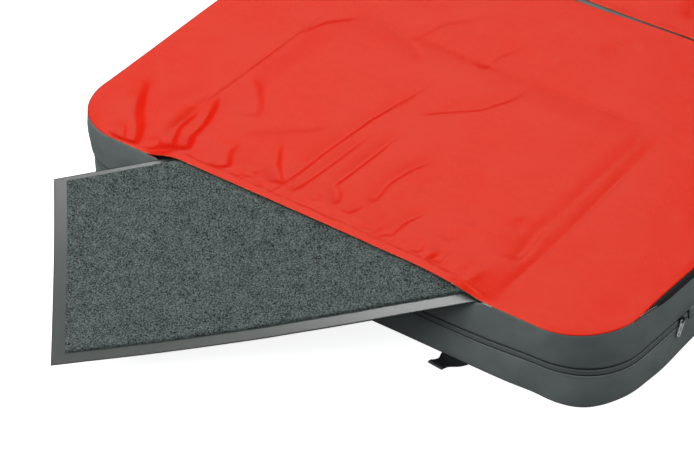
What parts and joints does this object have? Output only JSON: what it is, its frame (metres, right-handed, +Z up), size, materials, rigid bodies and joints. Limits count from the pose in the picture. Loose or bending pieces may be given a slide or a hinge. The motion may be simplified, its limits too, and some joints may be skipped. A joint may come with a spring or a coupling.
{
  "type": "bouldering crash pad",
  "caption": "Folding bouldering crash pad, red top over dark grey sides, with a doormat half pulled out of the pocket slot in its front edge.",
  "frame": {"origin": "centre of the front half's underside, on the ground", "axes": "+Y from the slot edge towards the hinge and the rear half, +Z up, +X to the side that has the edge zip"},
  "size_m": [0.9917, 1.7586, 0.1261],
  "materials": {
    "red_fabric": "woven coated polyester, satin",
    "grey_fabric": "heavy woven nylon, matt",
    "black_webbing": "ribbed webbing",
    "zip_tape": "woven zip tape",
    "zip_coil": "moulded coil",
    "zip_slider": "black enamel",
    "pull_tab": "grey enamel",
    "hook_metal": "black enamel",
    "mat_rubber": "smooth, slightly glossy",
    "mat_carpet": "needle-punched pile, flecked",
    "open_cell_foam": "open-cell foam, matt",
    "closed_cell_foam": "closed-cell foam, matt",
    "thread": "stitched thread"
  },
  "bodies": {
    "front_half": {"bar_tack_left": "thread", "bar_tack_right": "thread", "closure_tab_left": "black_webbing", "closure_tab_right": "black_webbing", "edge_zip_coil": "zip_tape", "edge_zip_tape": "zip_tape", "edge_zip_teeth": "zip_coil", "front_base_panel": "grey_fabric", "front_foam_base": "closed_cell_foam", "front_foam_core": "open_cell_foam", "front_foam_top": "closed_cell_foam", "front_hinge_wall": "grey_fabric", "front_side_band_lower": "grey_fabric", "front_side_band_upper": "grey_fabric", "front_top_panel": "red_fabric", "front_zip_coil": "zip_coil", "front_zip_garage_left": "black_webbing", "front_zip_garage_right": "black_webbing", "front_zip_tape_lower": "zip_tape", "front_zip_tape_upper": "zip_tape", "hinge_strip": "grey_fabric", "pocket_lining": "grey_fabric", "slot_hem": "red_fabric"},
    "rear_half": {"closure_hook_left": "hook_metal", "closure_hook_right": "hook_metal", "closure_webbing_left": "black_webbing", "closure_webbing_right": "black_webbing", "rear_base_panel": "grey_fabric", "rear_foam_base": "closed_cell_foam", "rear_foam_core": "open_cell_foam", "rear_foam_top": "closed_cell_foam", "rear_hinge_wall": "grey_fabric", "rear_side_band_lower": "grey_fabric", "rear_side_band_upper": "grey_fabric", "rear_top_panel": "red_fabric", "rear_zip_coil": "zip_coil", "rear_zip_garage_left": "black_webbing", "rear_zip_garage_right": "black_webbing", "rear_zip_tape_lower": "zip_tape", "rear_zip_tape_upper": "zip_tape", "shoulder_anchor_left": "black_webbing", "shoulder_anchor_right": "black_webbing", "shoulder_pad_left": "grey_fabric", "shoulder_pad_right": "grey_fabric", "shoulder_webbing_left": "black_webbing", "shoulder_webbing_right": "black_webbing"},
    "doormat": {"doormat_carpet": "mat_carpet", "doormat_rubber": "mat_rubber"},
    "front_zip_slider": {"front_zip_slider": "zip_slider"},
    "front_zip_pull": {"front_zip_pull_tab": "pull_tab"},
    "rear_zip_slider": {"rear_zip_slider": "zip_slider"},
    "rear_zip_pull": {"rear_zip_pull_tab": "pull_tab"},
    "edge_zip_slider": {"edge_zip_slider": "zip_slider"},
    "edge_zip_pull": {"edge_zip_pull_tab": "pull_tab"}
  },
  "joints": [
    {"name": "fold", "type": "hinge", "parent": "front_half", "child": "rear_half", "pos_m": [0, 0.345, 0.131], "axis": [1, 0, 0], "range_deg": [0, 180]},
    {"name": "doormat_slide", "type": "slide", "parent": "front_half", "child": "doormat", "axis": [-0.7694, -0.6388, 0], "range_m": [0, 0.47]},
    {"name": "front_zip_slide", "type": "slide", "parent": "front_half", "child": "front_zip_slider", "axis": [0, -1, 0], "range_m": [0, 0.08]},
    {"name": "front_pull_swing", "type": "hinge", "parent": "front_zip_slider", "child": "front_zip_pull", "pos_m": [0.4932, -0.1467, 0.055], "axis": [0, -0.766, 0.6428], "range_deg": [0, 150]},
    {"name": "rear_zip_slide", "type": "slide", "parent": "rear_half", "child": "rear_zip_slider", "axis": [0, 1, 0], "range_m": [0, 0.08]},
    {"name": "rear_pull_swing", "type": "hinge", "parent": "rear_zip_slider", "child": "rear_zip_pull", "pos_m": [0.4932, 0.8367, 0.055], "axis": [0, -0.766, -0.6428], "range_deg": [0, 150]},
    {"name": "edge_zip_slide", "type": "slide", "parent": "front_half", "child": "edge_zip_slider", "axis": [0, -1, 0], "range_m": [0, 0.49]},
    {"name": "edge_pull_swing", "type": "hinge", "parent": "edge_zip_slider", "child": "edge_zip_pull", "pos_m": [0.4981, 0.2973, 0.117], "axis": [0, -0.766, 0.6428], "range_deg": [0, 150]}
  ]
}
